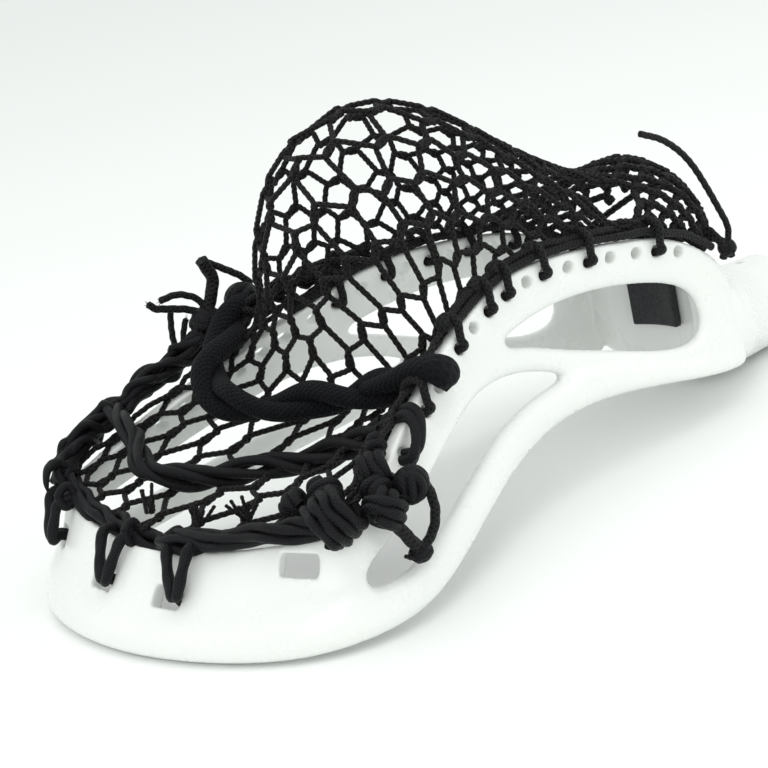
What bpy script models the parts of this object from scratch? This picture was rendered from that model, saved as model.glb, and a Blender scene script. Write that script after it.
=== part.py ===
"""Strung head of a men's field lacrosse stick, lying face down with its pocket up.

Run with: blender --background --python part.py

Shapes are designed in millimetres in the head's own frame: x = 0 at the ball stop and growing towards the
shaft, y = 0 on the plane of symmetry, +z towards the pocket. The root empty then moves the whole head so that
the world origin is the bottom centre of the moulded frame's bounding box, in metres.
"""

import math

import bmesh
import bpy
from mathutils import Matrix, Vector

MM = 0.001
GAP = 0.4  # air between neighbouring solids

# ---- moulded frame -------------------------------------------------------------------------------------------
# One row for each station of the near half, from the throat round to the middle of the scoop:
# lip of the face rim, string edge of the rail, and the heights of the four lines that bound the windows,
# as fractions of the wall from lip to string edge.
STATIONS = (
    ((12, 39.8, 9.0), (12, 38.0, 47.0), (0.16, 0.30, 0.42, 0.72)),
    ((-10, 42.6, 12.0), (-10, 40.7, 63.0), (0.10, 0.20, 0.30, 0.64)),
    ((-28, 43.4, 16.0), (-28, 41.0, 69.8), (0.08, 0.15, 0.22, 0.68)),
    ((-48, 43.8, 20.2), (-48, 40.4, 73.8), (0.11, 0.19, 0.27, 0.70)),
    ((-68, 44.6, 23.3), (-68, 39.6, 76.7), (0.17, 0.25, 0.34, 0.70)),
    ((-86, 46.7, 24.2), (-86, 39.4, 78.0), (0.24, 0.28, 0.45, 0.68)),
    ((-97, 48.7, 23.6), (-97, 40.0, 77.4), (0.25, 0.37, 0.55, 0.665)),
    ((-107, 51.0, 22.4), (-107, 41.3, 75.8), (0.26, 0.45, 0.62, 0.67)),
    ((-122, 55.5, 19.8), (-122, 44.0, 72.2), (0.27, 0.54, 0.70, 0.82)),
    ((-137, 62.0, 16.6), (-137, 49.0, 67.4), (0.27, 0.585, 0.74, 0.87)),
    ((-155, 70.2, 12.4), (-155, 56.4, 60.6), (0.28, 0.585, 0.75, 0.88)),
    ((-173, 78.4, 7.8), (-172, 62.7, 54.0), (0.29, 0.585, 0.75, 0.88)),
    ((-190, 84.3, 3.8), (-186, 68.5, 48.0), (0.31, 0.585, 0.75, 0.88)),
    ((-204, 85.8, 1.6), (-199, 75.5, 41.5), (0.36, 0.59, 0.75, 0.88)),
    ((-217.5, 83.6, 0.5), (-210, 78.5, 36.8), (0.40, 0.57, 0.74, 0.88)),
    ((-231, 76.8, 0.0), (-219, 74.0, 34.5), (0.38, 0.52, 0.70, 0.88)),
    ((-242, 65.0, 0.0), (-227, 61.0, 33.0), (0.34, 0.46, 0.66, 0.87)),
    ((-250.5, 47.5, 0.4), (-232, 44.0, 31.0), (0.31, 0.42, 0.64, 0.86)),
    ((-256.5, 25.5, 0.9), (-235.5, 23.0, 28.6), (0.29, 0.40, 0.63, 0.86)),
    ((-259, 0.0, 1.2), (-237, 0.0, 26.5), (0.28, 0.39, 0.62, 0.86)),
)
UPPER_WINDOW = (1, 7)  # stations between which the window beside the ball stop is open
LOWER_WINDOW = (5, 14)  # stations between which the long window above the face rim is open
RIM_THICK = 9.5
RIM_PROUD = 0.8  # how far the face rim bulges outside the wall
WALL_THICK = 6.4
SCOOP_THICK = 5.0
SCOOP_FIRST = 14  # first station of the scoop's web
GROOVE_DEEP = 3.0  # how far the scoop's web is set back behind the face rim, at its corners
STRUT_STEP = 1.2  # how far the struts are set back behind the face rim
FINISH_LEVELS = 1

HOLE_FIRST_X, HOLE_PITCH, HOLE_COUNT = -16.0, 10.7, 17  # string holes along each rail
HOLE_LONG, HOLE_TALL, HOLE_BELOW = 5.4, 4.0, 5.2
SLOTS = ((62.0, 12.0), (20.0, 13.5), (-15.0, 14.5), (-63.0, 7.0))  # y and depth below the string edge
SLOT_WIDE, SLOT_TALL = 13.0, 7.5

# ---- throat --------------------------------------------------------------------------------------------------
SHAFT_Z = 16.0
THROAT = (  # x, half width, lowest z, highest z, corner
    (2.0, 40.8, 8.5, 49.0, 9.0),
    (14.0, 38.6, 5.5, 46.0, 10.0),
    (26.0, 31.5, 1.5, 41.5, 11.0),
    (38.0, 23.0, -1.2, 36.5, 10.5),
    (50.0, 18.8, -2.0, 34.4, 10.6),
    (66.0, 18.2, -2.0, 34.0, 10.6),
)
STOP_X = 9.0  # throat wall behind the ball stop, on the centre plane
STOP_RADII = (27.0, 34.0)  # of the hollow that the ball stop lines, along x and y
SOCKET_FLOOR_X = 22.0
SOCKET_FLATS = 26.0  # across flats, for a 25.4 mm octagonal shaft
SCREW_X, SCREW_DIAMETER = 54.0, 3.6

# ---- soft parts ----------------------------------------------------------------------------------------------
STOP_PAD = (11.0, 34.5, 10.5, 3.5)  # half width, middle z, half height, thickness of the foam pad
POCKET_LINES = (
    # Lines of mesh from scoop to throat: middle x and z, x at the near and far rails, inset and lift there
    ((-229, 30), (-217, -217), (15, -5)),
    ((-214, 31), (-209, -212), (15, -6)),
    ((-200, 32), (-195, -206), (15, -7)),
    ((-189, 33.5), (-182, -199), (14, -8)),
    ((-180, 36.5), (-167, -190), (12, -10)),
    ((-170, 41), (-148, -179), (11, -14)),
    ((-152, 46), (-115, -158), (9.5, -14)),
    ((-155, 72), (-112, -140), (8.6, -2)),
    ((-161, 94), (-111, -132), (8.4, 2)),
    ((-158, 114), (-108, -127), (8.2, 2)),
    ((-151, 129), (-104, -122), (8, 2)),
    ((-139, 139), (-98, -115), (8, 2)),
    ((-117, 143), (-89, -104), (8, 2)),
    ((-90, 135), (-78, -88), (8, 2)),
    ((-64, 116), (-62, -67), (8, 2)),
    ((-38, 99), (-44, -46), (8, 2)),
    ((-22, 92), (-28, -30), (8, 2)),
    ((-6, 92), (-13, -14), (8, 2)),
    ((7, 87), (-1, -1), (8, 3)),
    ((14, 76), (4, 4), (8, 4)),
)
POCKET_ACROSS = 12
POCKET_THICK = 2.4

SIDE_CORD, TOP_CORD, WOVEN_LACE, SMOOTH_LACE = 3.2, 6.5, 10.5, 6.0  # diameters
WOVEN_ROUTE = ((-148, -43, 68), (-152, -37, 63.5), (-158, -29, 59), (-164, -19, 56.5), (-169, -9, 55),
               (-175, 1, 54), (-180, 12, 55), (-181.5, 23, 57.5), (-177.5, 33, 61.5), (-170, 40, 65.5),
               (-161, 46, 69))
SMOOTH_ROUTE = ((-172, -47, 50), (-173.5, -40, 47), (-176, -30, 44.3), (-182, -15, 42), (-191, -3, 39.8),
                (-200, 7, 39), (-207, 16, 39), (-211, 26, 41), (-209, 36, 44.5), (-203, 46, 48), (-198, 55, 50.5))
TOP_END_Y = 66.0  # where the scoop's bundle of cords starts, at the near corner
FAR_BUNDLE = ((-207, 76.5, 45), (-199, 75.5, 48.5), (-190, 73, 52), (-181, 70, 56.5), (-172, 68, 60))
TAILS = {  # loose ends of cord: diameter, and the way from the knot that holds each
    "bottom_string_tail": (2.6, ((11, -38, 59), (11, -38, 63), (8, -38, 70), (3.5, -38, 79.5), (-1.5, -38, 88.5),
                                 (-7.3, -38, 95.5), (-15, -38, 101.5), (-24.5, -38, 106))),
    "lace_stub": (3.6, ((-146.2, 64, 75.8), (-145, 64, 80), (-143.8, 64, 85), (-144.6, 64, 88.5), (-146, 64, 91.5))),
    "lace_tail_woven": (2.3, ((-133, 60, 81.8), (-134.5, 61.5, 84.5), (-138, 63.2, 87.4), (-141, 66, 89.3))),
    "lace_tail_upper": (1.9, ((-148.3, 66.4, 76.8), (-149.8, 68, 80.2), (-154.4, 70, 82.9), (-157.4, 72, 83.1),
                              (-160.2, 73, 83))),
    "lace_tail_lower": (2.1, ((-150.2, 67.5, 75.2), (-153.6, 70, 77.2), (-159.4, 73, 79), (-162.7, 75, 80),
                              (-163.9, 76, 82))),
    "top_string_tail_long": (2.2, ((-158.2, 74.5, 62), (-158.4, 75, 66), (-157.8, 75.5, 71), (-156.4, 76, 76.4))),
    "top_string_tail_short": (2.2, ((-155.4, 72, 63), (-155.8, 72.6, 66.5), (-155.4, 72.6, 70), (-154.5, 72, 73.3))),
    "top_string_strand_outer": (2.8, ((-187, -81.3, 34.3), (-187.3, -82.3, 31), (-188.6, -83, 27.5),
                                      (-190.5, -83.2, 24.6))),
    "top_string_strand_inner": (2.8, ((-202.2, -82.3, 30.2), (-200.7, -83, 27.3), (-198.7, -83.2, 24.8))),
}
KNOTS = {  # centre and radii
    "top_string_knot_outer": ((-216, -73.5, 41.6), (6, 5.5, 5)),
    "top_string_knot_middle": ((-204, -80.8, 37.5), (5, 4, 5)),
    "top_string_knot_inner": ((-190.5, -78.6, 40.3), (5, 4.4, 4.5)),
    "top_string_end_knot": ((-194.8, -82, 20.4), (3.2, 2.8, 2.6)),
    "lace_knot_woven": ((-136.1, 59, 75.4), (5.6, 5.4, 5.6)),
    "lace_knot_smooth": ((-147.4, 64, 69.7), (5.4, 5, 5.2)),
    "bottom_string_knot": ((9, -38, 54.5), (4, 4, 3.4)),
}

COLOURS = {
    "nylon_white": ((0.86, 0.87, 0.84), 0.32),
    "foam_black": ((0.012, 0.012, 0.014), 0.7),
    "mesh_black": ((0.018, 0.017, 0.018), 0.75),
    "lace_black": ((0.012, 0.012, 0.02), 0.6),
}


# ---- helpers -------------------------------------------------------------------------------------------------
def clear_scene():
    for obj in list(bpy.data.objects):
        bpy.data.objects.remove(obj, do_unlink=True)


def material(name):
    mat = bpy.data.materials.get(name)
    if mat is None:
        colour, roughness = COLOURS[name]
        mat = bpy.data.materials.new(name)
        mat.use_nodes = True
        shader = mat.node_tree.nodes["Principled BSDF"]
        shader.inputs["Base Color"].default_value = (*colour, 1.0)
        shader.inputs["Roughness"].default_value = roughness
        shader.inputs["Metallic"].default_value = 0.0
    return mat


def add_object(name, data, root, slot=None):
    obj = bpy.data.objects.new(name, data)
    bpy.context.collection.objects.link(obj)
    obj.parent = root
    if slot:
        obj.data.materials.append(material(slot))
    return obj


def mesh_object(name, bm, root, slot=None):
    bmesh.ops.recalc_face_normals(bm, faces=bm.faces)
    mesh = bpy.data.meshes.new(name)
    bm.to_mesh(mesh)
    bm.free()
    mesh.shade_smooth()
    return add_object(name, mesh, root, slot)


def cutter(obj):
    obj.hide_render = True
    obj.display_type = "WIRE"
    return obj


def add_boolean(obj, other, operation):
    mod = obj.modifiers.new(operation.lower(), "BOOLEAN")
    mod.operation = operation
    mod.object = other
    mod.solver = "EXACT"


def add_subdivision(obj, levels):
    mod = obj.modifiers.new("subdivision", "SUBSURF")
    mod.levels = levels
    mod.render_levels = levels


def through(points, steps):
    """Points along the smooth curve (Catmull-Rom) through the given points, steps to each span."""
    pts = [Vector(p) for p in points]
    pts = [2 * pts[0] - pts[1]] + pts + [2 * pts[-1] - pts[-2]]
    out = []
    for a, b, c, d in zip(pts, pts[1:], pts[2:], pts[3:]):
        for k in range(steps):
            t = k / steps
            out.append(0.5 * ((2 * b) + (c - a) * t + (2 * a - 5 * b + 4 * c - d) * t * t
                              + (3 * b - a - 3 * c + d) * t ** 3))
    return out + [pts[-2]]


def evenly(points, spacing):
    """The same line with its points about the given distance apart."""
    lengths = [0.0]
    for a, b in zip(points, points[1:]):
        lengths.append(lengths[-1] + (b - a).length)
    count = max(4, round(lengths[-1] / spacing))
    out = []
    k = 0
    for i in range(count + 1):
        target = lengths[-1] * i / count
        while k < len(points) - 2 and lengths[k + 1] < target:
            k += 1
        span = lengths[k + 1] - lengths[k]
        out.append(points[k].lerp(points[k + 1], (target - lengths[k]) / span))
    return out


def tube(name, route, diameter, root, slot, spacing=2.5):
    """A plain round cord along a smooth route."""
    curve = bpy.data.curves.new(name, "CURVE")
    curve.dimensions = "3D"
    curve.bevel_depth = diameter / 2 * MM
    curve.bevel_resolution = 2
    curve.use_fill_caps = True
    points = evenly(through(route, 12), diameter * spacing)
    spline = curve.splines.new("POLY")
    spline.points.add(len(points) - 1)
    for target, p in zip(spline.points, points):
        target.co = (*(p * MM), 1.0)
    return add_object(name, curve, root, slot)


# ---- moulded frame -------------------------------------------------------------------------------------------
def whole_loop(stations):
    """The near half's rows and then their mirror images, from throat to throat."""
    near = [(Vector((r[0], -r[1], r[2])), Vector((s[0], -s[1], s[2])), levels, k)
            for k, (r, s, levels) in enumerate(stations)]
    flip = Vector((1, -1, 1))
    far = [(r * flip, s * flip, levels, k) for r, s, levels, k in near[-2::-1]]
    return near + far


def wall_is_open(k, band):
    """True where the wall between stations k and k + 1 has a window in this band of heights."""
    upper = UPPER_WINDOW[0] <= k < UPPER_WINDOW[1] and band == 3
    lower = LOWER_WINDOW[0] <= k < LOWER_WINDOW[1] and band == 1
    return upper or lower


def wall_point(rim, rail, outward, height, level, k):
    """Outer and inner points of the wall at one level of one station."""
    toward_middle = (k - SCOOP_FIRST) / (len(STATIONS) - 1 - SCOOP_FIRST)
    step = -RIM_PROUD
    thick = RIM_THICK
    if level >= 2:
        step = STRUT_STEP
        thick = WALL_THICK
        if k >= SCOOP_FIRST - 1:
            step = GROOVE_DEEP * (1 - max(0.0, toward_middle)) ** 0.7
            thick = SCOOP_THICK
    middle = rim.lerp(rail, height)
    return (middle - outward * step) * MM, (middle - outward * (step + thick)) * MM


def wall_mesh(stations):
    """The rim, struts, rails and scoop as one cage of faces, open at the windows."""
    loop = whole_loop(stations)
    bm = bmesh.new()
    outer, inner = [], []
    for i, (rim, rail, levels, k) in enumerate(loop):
        before = loop[max(i - 1, 0)]
        after = loop[min(i + 1, len(loop) - 1)]
        along = (after[0] + after[1]) - (before[0] + before[1])
        outward = -along.cross(rail - rim).normalized()
        pairs = [wall_point(rim, rail, outward, h, n, k) for n, h in enumerate((0.0, *levels, 1.0))]
        outer.append([bm.verts.new(p[0]) for p in pairs])
        inner.append([bm.verts.new(p[1]) for p in pairs])
    bands = 5
    last = len(loop) - 1
    half = len(stations) - 1

    def solid(i, j):
        if not (0 <= i < last and 0 <= j < bands):
            return False
        k = i if i < half else last - 1 - i
        return not wall_is_open(k, j)

    crease = bm.edges.layers.float.new("crease_edge")
    for i in range(last):
        for j in range(bands):
            if not solid(i, j):
                continue
            corners = ((i, j), (i + 1, j), (i + 1, j + 1), (i, j + 1))
            bm.faces.new([outer[a][b] for a, b in corners])
            bm.faces.new([inner[a][b] for a, b in reversed(corners)])
            for (a, b), (c, d), (ni, nj) in zip(
                    corners, corners[1:] + corners[:1], ((i, j - 1), (i + 1, j), (i, j + 1), (i - 1, j))):
                if not solid(ni, nj):
                    bm.faces.new((outer[a][b], inner[a][b], inner[c][d], outer[c][d]))
    bm.edges.ensure_lookup_table()
    for row in (outer, inner):
        for a, b in zip(row, row[1:]):
            edge = bm.edges.get((a[-1], b[-1]))
            if edge:
                edge[crease] = 0.45
    return bm


def throat_mesh():
    """The solid neck: rings that go from the width of the head to an octagonal collar."""
    bm = bmesh.new()
    rings = []
    for x, half, low, high, corner in THROAT:
        outline = ((-half + corner, low), (half - corner, low), (half, low + corner), (half, high - corner),
                   (half - corner, high), (-half + corner, high), (-half, high - corner), (-half, low + corner))
        rings.append([bm.verts.new(Vector((x, y, z)) * MM) for y, z in outline])
    for a, b in zip(rings, rings[1:]):
        for k in range(8):
            bm.faces.new((a[k], a[(k + 1) % 8], b[(k + 1) % 8], b[k]))
    bm.faces.new(rings[0])
    end = bm.faces.new(rings[-1])
    crease = bm.edges.layers.float.new("crease_edge")
    for edge in end.edges:
        edge[crease] = 1.0
    return bm


def prism(name, outline, depth, place, root):
    """A straight cutter: the outline in its own XY plane, centred on z = 0, put where place says."""
    bm = bmesh.new()
    low = [bm.verts.new((x * MM, y * MM, -depth / 2 * MM)) for x, y in outline]
    high = [bm.verts.new((x * MM, y * MM, depth / 2 * MM)) for x, y in outline]
    count = len(outline)
    for k in range(count):
        bm.faces.new((low[k], low[(k + 1) % count], high[(k + 1) % count], high[k]))
    bm.faces.new(low)
    bm.faces.new(high)
    bmesh.ops.transform(bm, matrix=place, verts=bm.verts)
    return cutter(mesh_object(name, bm, root))


def ellipse(rx, ry, count):
    turn = 2 * math.pi / count
    return [(rx * math.cos(turn * (k + 0.5)), ry * math.sin(turn * (k + 0.5))) for k in range(count)]


def frame_at(where, normal, up):
    """Matrix whose Z axis is the normal and whose Y axis is as near up as it can be, at a place in mm."""
    z = normal.normalized()
    x = up.cross(z).normalized()
    y = z.cross(x)
    turn = Matrix((x, y, z)).transposed().to_4x4()
    return Matrix.Translation(where * MM) @ turn


def rail_line(side):
    """The string edge from throat to scoop on one side, as a fine smooth line, with wall directions."""
    rows = whole_loop(STATIONS)[: len(STATIONS)]
    rail = through([r[1] for r in rows], 8)
    rim = through([r[0] for r in rows], 8)
    flip = Vector((1, side * -1, 1))
    return [(a * flip, b * flip) for a, b in zip(rail, rim)]


def wall_frame(line, k, below):
    """A place below the string edge on the line's point k, the wall's normal and its upward direction."""
    rail, rim = line[k]
    up = (rail - rim).normalized()
    along = (line[min(k + 1, len(line) - 1)][0] - line[max(k - 1, 0)][0]).normalized()
    normal = along.cross(up).normalized()
    return rail - up * below, normal, up


def string_hole_places():
    """Matrices for the string holes, evenly pitched along both rails."""
    places = []
    for side in (-1, 1):
        line = rail_line(side)
        start = min(range(len(line)), key=lambda n: abs(line[n][0].x - HOLE_FIRST_X))
        travelled = 0.0
        k = start
        for n in range(HOLE_COUNT):
            while travelled < n * HOLE_PITCH:
                travelled += (line[k + 1][0] - line[k][0]).length
                k += 1
            where, normal, up = wall_frame(line, k, HOLE_BELOW)
            places.append(frame_at(where, normal, up))
    return places


def slot_places():
    """Matrices for the lacing slots of the scoop."""
    places = []
    for y, below in SLOTS:
        line = rail_line(1 if y > 0 else -1)
        scoop = [n for n, (rail, _) in enumerate(line) if rail.x < -215]
        k = min(scoop, key=lambda n: abs(line[n][0].y - y))
        where, normal, up = wall_frame(line, k, below)
        places.append(frame_at(where, normal, up))
    return places


def make_frame(root):
    frame = mesh_object("head_frame", wall_mesh(STATIONS), root, "nylon_white")
    add_subdivision(frame, FINISH_LEVELS)
    throat = mesh_object("throat_body", throat_mesh(), root, "nylon_white")
    add_subdivision(throat, FINISH_LEVELS)
    add_boolean(frame, cutter(throat), "UNION")
    rx, ry = STOP_RADII
    hollow = Matrix.Translation(Vector((STOP_X - rx, 0, 30)) * MM)
    add_boolean(frame, prism("ball_hollow", ellipse(rx, ry, 28), 90, hollow, root), "DIFFERENCE")
    bore_length = 60.0
    middle = Vector((SOCKET_FLOOR_X + bore_length / 2, 0, SHAFT_Z))
    bore = frame_at(middle, Vector((1, 0, 0)), Vector((0, 0, 1)))
    octagon = ellipse(SOCKET_FLATS / 2 / math.cos(math.pi / 8), SOCKET_FLATS / 2 / math.cos(math.pi / 8), 8)
    add_boolean(frame, prism("shaft_bore", octagon, bore_length, bore, root), "DIFFERENCE")
    screw = Matrix.Translation(Vector((SCREW_X, 0, SHAFT_Z + 20)) * MM)
    radius = SCREW_DIAMETER / 2
    add_boolean(frame, prism("screw_hole", ellipse(radius, radius, 12), 22, screw, root), "DIFFERENCE")
    holes = bmesh.new()
    for n, place in enumerate(string_hole_places()):
        piece = prism(f"hole_{n}", ellipse(HOLE_LONG / 2, HOLE_TALL / 2, 8), 24, place, root)
        holes.from_mesh(piece.data)
        bpy.data.objects.remove(piece)
    for n, place in enumerate(slot_places()):
        wide, tall = SLOT_WIDE / 2, SLOT_TALL / 2
        outline = ((-wide, -tall), (wide, -tall), (wide, tall), (-wide, tall))
        piece = prism(f"slot_{n}", outline, 24, place, root)
        holes.from_mesh(piece.data)
        bpy.data.objects.remove(piece)
    add_boolean(frame, cutter(mesh_object("string_holes", holes, root)), "DIFFERENCE")
    return frame


# ---- soft parts ----------------------------------------------------------------------------------------------
def make_ball_stop(root):
    """Foam pad that lines the hollow of the throat."""
    half_wide, mid_z, half_tall, thick = STOP_PAD
    rx, ry = STOP_RADII
    bm = bmesh.new()
    rows = []
    steps = 10
    for r in (GAP, GAP + thick):
        row = []
        for k in range(steps + 1):
            y = half_wide * (2 * k / steps - 1)
            x = STOP_X - rx + (rx - r) * math.sqrt(1 - (y / (ry - r)) ** 2)
            row.append([bm.verts.new(Vector((x, y, z)) * MM) for z in (mid_z - half_tall, mid_z + half_tall)])
        rows.append(row)
    back, front = rows
    for k in range(steps):
        bm.faces.new((back[k][0], back[k + 1][0], back[k + 1][1], back[k][1]))
        bm.faces.new((front[k][0], front[k][1], front[k + 1][1], front[k + 1][0]))
        bm.faces.new((back[k][0], front[k][0], front[k + 1][0], back[k + 1][0]))
        bm.faces.new((back[k][1], back[k + 1][1], front[k + 1][1], front[k][1]))
    for k in (0, steps):
        bm.faces.new((back[k][0], back[k][1], front[k][1], front[k][0]))
    return mesh_object("ball_stop", bm, root, "foam_black")


def string_edge(x, side):
    """The rail's string edge at a given x, between the throat and the scoop's corner."""
    line = [a for a, _ in rail_line(side)]
    for a, b in zip(line, line[1:]):
        if b.x <= x <= a.x:
            return a.lerp(b, (a.x - x) / (a.x - b.x))
    return line[-1]


def pocket_line(middle, feet, offset):
    """One line of mesh across the pocket, from the near rail over the middle to the far rail."""
    inset, lift = offset
    top = Vector((middle[0], 0, middle[1]))
    out = []
    for k in range(POCKET_ACROSS + 1):
        turn = math.pi * (k / POCKET_ACROSS - 0.5)
        side = -1 if turn < 0 else 1
        foot = string_edge(feet[0] if side < 0 else feet[1], side) + Vector((0, -side * inset, lift))
        rise = math.cos(turn)
        out.append(Vector((foot.x + (top.x - foot.x) * rise, abs(math.sin(turn)) * foot.y,
                           foot.z + (top.z - foot.z) * rise)))
    return out


def make_pocket(root):
    """The bag of mesh as one thin closed skin."""
    grid = [pocket_line(*line) for line in POCKET_LINES]
    rows, columns = len(grid), len(grid[0])
    bm = bmesh.new()
    skins = ([], [])
    for i in range(rows):
        for j in range(columns):
            down = grid[min(i + 1, rows - 1)][j] - grid[max(i - 1, 0)][j]
            across = grid[i][min(j + 1, columns - 1)] - grid[i][max(j - 1, 0)]
            normal = down.cross(across).normalized()
            for skin, side in zip(skins, (1, -1)):
                skin.append(bm.verts.new((grid[i][j] + normal * side * POCKET_THICK / 2) * MM))

    def at(skin, i, j):
        return skins[skin][i * columns + j]

    for i in range(rows - 1):
        for j in range(columns - 1):
            bm.faces.new((at(0, i, j), at(0, i + 1, j), at(0, i + 1, j + 1), at(0, i, j + 1)))
            bm.faces.new((at(1, i, j), at(1, i, j + 1), at(1, i + 1, j + 1), at(1, i + 1, j)))
    border = [(i, 0) for i in range(rows)] + [(rows - 1, j) for j in range(1, columns)]
    border += [(i, columns - 1) for i in range(rows - 2, -1, -1)] + [(0, j) for j in range(columns - 2, 0, -1)]
    for a, b in zip(border, border[1:] + border[:1]):
        bm.faces.new((at(0, *a), at(0, *b), at(1, *b), at(1, *a)))
    return mesh_object("pocket_mesh", bm, root, "mesh_black")


def lump(name, centre, radii, root, slot):
    """A knot as one rounded solid."""
    bm = bmesh.new()
    place = Matrix.Translation(Vector(centre) * MM) @ Matrix.Diagonal((*(Vector(radii) * MM), 1.0))
    bmesh.ops.create_icosphere(bm, subdivisions=2, radius=1.0, matrix=place)
    return mesh_object(name, bm, root, slot)


def make_cords(root):
    lift = SIDE_CORD / 2 + GAP + 0.4
    for name, side in (("sidewall_string_near", -1), ("sidewall_string_far", 1)):
        route = [string_edge(x, side) + Vector((0, 0, lift)) for x in (0, -10, -28, -48, -70, -92, -112, -130)]
        tube(name, route, SIDE_CORD, root, "mesh_black")
    tube("bottom_string", ((6, -29, 60), (7, -16, 59), (8, 0, 58.5), (7, 16, 59), (6, 29, 60)), SIDE_CORD, root,
         "lace_black")
    scoop = [a for a, _ in rail_line(-1)]
    half = [p for p in scoop if p.x < -213 and abs(p.y) > 1][::6] + [scoop[-1]]
    near = [p for p in half if abs(p.y) < TOP_END_Y]
    far = [p * Vector((1, -1, 1)) for p in half[-2::-1]]
    rise = Vector((0, 0, TOP_CORD / 2 + GAP + 0.8))
    route = [p + rise for p in near + far] + [Vector(p) for p in FAR_BUNDLE]
    tube("top_string", route, TOP_CORD, root, "lace_black", spacing=1.2)
    tube("shooting_lace_woven", WOVEN_ROUTE, WOVEN_LACE, root, "lace_black", spacing=0.9)
    tube("shooting_lace_smooth", SMOOTH_ROUTE, SMOOTH_LACE, root, "lace_black", spacing=1.4)
    for name, (diameter, route) in TAILS.items():
        tube(name, route, diameter, root, "lace_black")


def make_knots(root):
    for name, (centre, radii) in KNOTS.items():
        lump(name, centre, radii, root, "lace_black")


def place_root(root, frame):
    """Moves the head so that the frame's bounding box stands on the origin, centred."""
    bpy.context.view_layer.update()
    shaped = frame.evaluated_get(bpy.context.evaluated_depsgraph_get())
    corners = [shaped.matrix_world @ v.co for v in shaped.data.vertices]
    low = [min(c[n] for c in corners) for n in range(3)]
    high = [max(c[n] for c in corners) for n in range(3)]
    root.location = (-(low[0] + high[0]) / 2, -(low[1] + high[1]) / 2, -low[2])


def main():
    clear_scene()
    root = bpy.data.objects.new("head_root", None)
    bpy.context.collection.objects.link(root)
    frame = make_frame(root)
    make_ball_stop(root)
    make_pocket(root)
    make_cords(root)
    make_knots(root)
    place_root(root, frame)


main()
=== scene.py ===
"""Looks of a strung lacrosse head that lies face down with its pocket up.

Lengths are millimetres in the frame of the head's design: x = 0 at the ball stop and growing
towards the shaft, y = 0 on the plane of symmetry, +z towards the pocket. placed() turns them into
the shared frame. "Near" is the -y side, which faces the camera.
"""

import math
from collections import namedtuple

import bmesh
import bpy
import numpy as np
from mathutils import Matrix, Vector


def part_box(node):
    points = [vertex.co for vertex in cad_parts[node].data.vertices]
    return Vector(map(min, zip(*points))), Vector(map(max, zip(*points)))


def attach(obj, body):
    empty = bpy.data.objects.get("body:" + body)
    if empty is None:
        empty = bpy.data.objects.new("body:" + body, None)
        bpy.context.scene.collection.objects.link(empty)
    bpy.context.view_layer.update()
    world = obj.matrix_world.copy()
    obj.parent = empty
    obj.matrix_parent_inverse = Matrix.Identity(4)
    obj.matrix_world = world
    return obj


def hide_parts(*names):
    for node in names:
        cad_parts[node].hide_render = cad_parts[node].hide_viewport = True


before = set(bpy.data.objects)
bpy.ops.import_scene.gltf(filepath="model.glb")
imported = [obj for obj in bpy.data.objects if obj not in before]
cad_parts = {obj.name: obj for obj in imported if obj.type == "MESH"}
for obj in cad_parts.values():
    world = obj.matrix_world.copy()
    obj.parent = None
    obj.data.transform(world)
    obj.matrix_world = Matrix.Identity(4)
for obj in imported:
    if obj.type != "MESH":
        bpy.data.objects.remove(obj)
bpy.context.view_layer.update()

MM = 0.001
SQUARE = ((-1, -1), (1, -1), (1, 1), (-1, 1))
COLLAR_END_X, PAD_LOW_Z = 66, 24  # the design's collar end and lowest point of the ball stop
SHIFT = Vector((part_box("head_frame")[1].x / MM - COLLAR_END_X, 0,
                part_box("ball_stop")[0].z / MM - PAD_LOW_Z))


def placed(p):
    """A place of the design in metres in the shared frame."""
    return (Vector(p) + SHIFT) * MM


# ---- camera and light ----
CAMERA_PLACE = (-675.2, -681, 282.6)
CAMERA_HEADING, CAMERA_DIP, CAMERA_ROLL = 51.27, -15.15, -11.85  # degrees
CAMERA_LENS, SENSOR_WIDTH = 124.05, 36
CLIP_START = 0.01  # metres, like all of the studio below
LIGHTS = (  # name, place, target, size, power
    ("softbox_top", (-0.15, -0.1, 1.3), (0, 0, 0), (1.4, 1.4), 4.6),
    ("softbox_front", (-1.1, -0.9, 0.75), (-0.05, 0, 0.04), (0.9, 0.9), 3.4),
    ("softbox_side", (0.9, -0.9, 0.6), (0, 0, 0.05), (0.8, 0.8), 1.6),
)
WORLD_COLOUR, WORLD_STRENGTH = (0.97, 1, 0.985, 1), 0.87
FLOOR_HALF, FLOOR_DROP = 6, 0.0005
PAPER_COLOUR, PAPER_ROUGHNESS = (0.94, 0.95, 0.94, 1), 0.9


def linked(name, data):
    """A new object in the scene."""
    obj = bpy.data.objects.new(name, data)
    bpy.context.scene.collection.objects.link(obj)
    return obj


def make_camera():
    """The camera at the photograph's viewing angle."""
    data = bpy.data.cameras.new("camera")
    data.lens, data.sensor_width, data.clip_start = CAMERA_LENS, SENSOR_WIDTH, CLIP_START
    camera = linked("camera", data)
    turn = (Matrix.Rotation(math.radians(CAMERA_HEADING - 90), 4, "Z")
            @ Matrix.Rotation(math.radians(90 + CAMERA_DIP), 4, "X")
            @ Matrix.Rotation(math.radians(CAMERA_ROLL), 4, "Z"))
    camera.matrix_world = Matrix.Translation(placed(CAMERA_PLACE)) @ turn
    bpy.context.scene.camera = camera


def make_light(name, place, target, size, power):
    """A soft rectangular light at a place, turned to its target."""
    data = bpy.data.lights.new(name, "AREA")
    data.shape, data.energy = "RECTANGLE", power
    data.size, data.size_y = size
    light = linked(name, data)
    light.location = place
    light.rotation_euler = (Vector(target) - Vector(place)).to_track_quat("-Z", "Y").to_euler()


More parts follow.
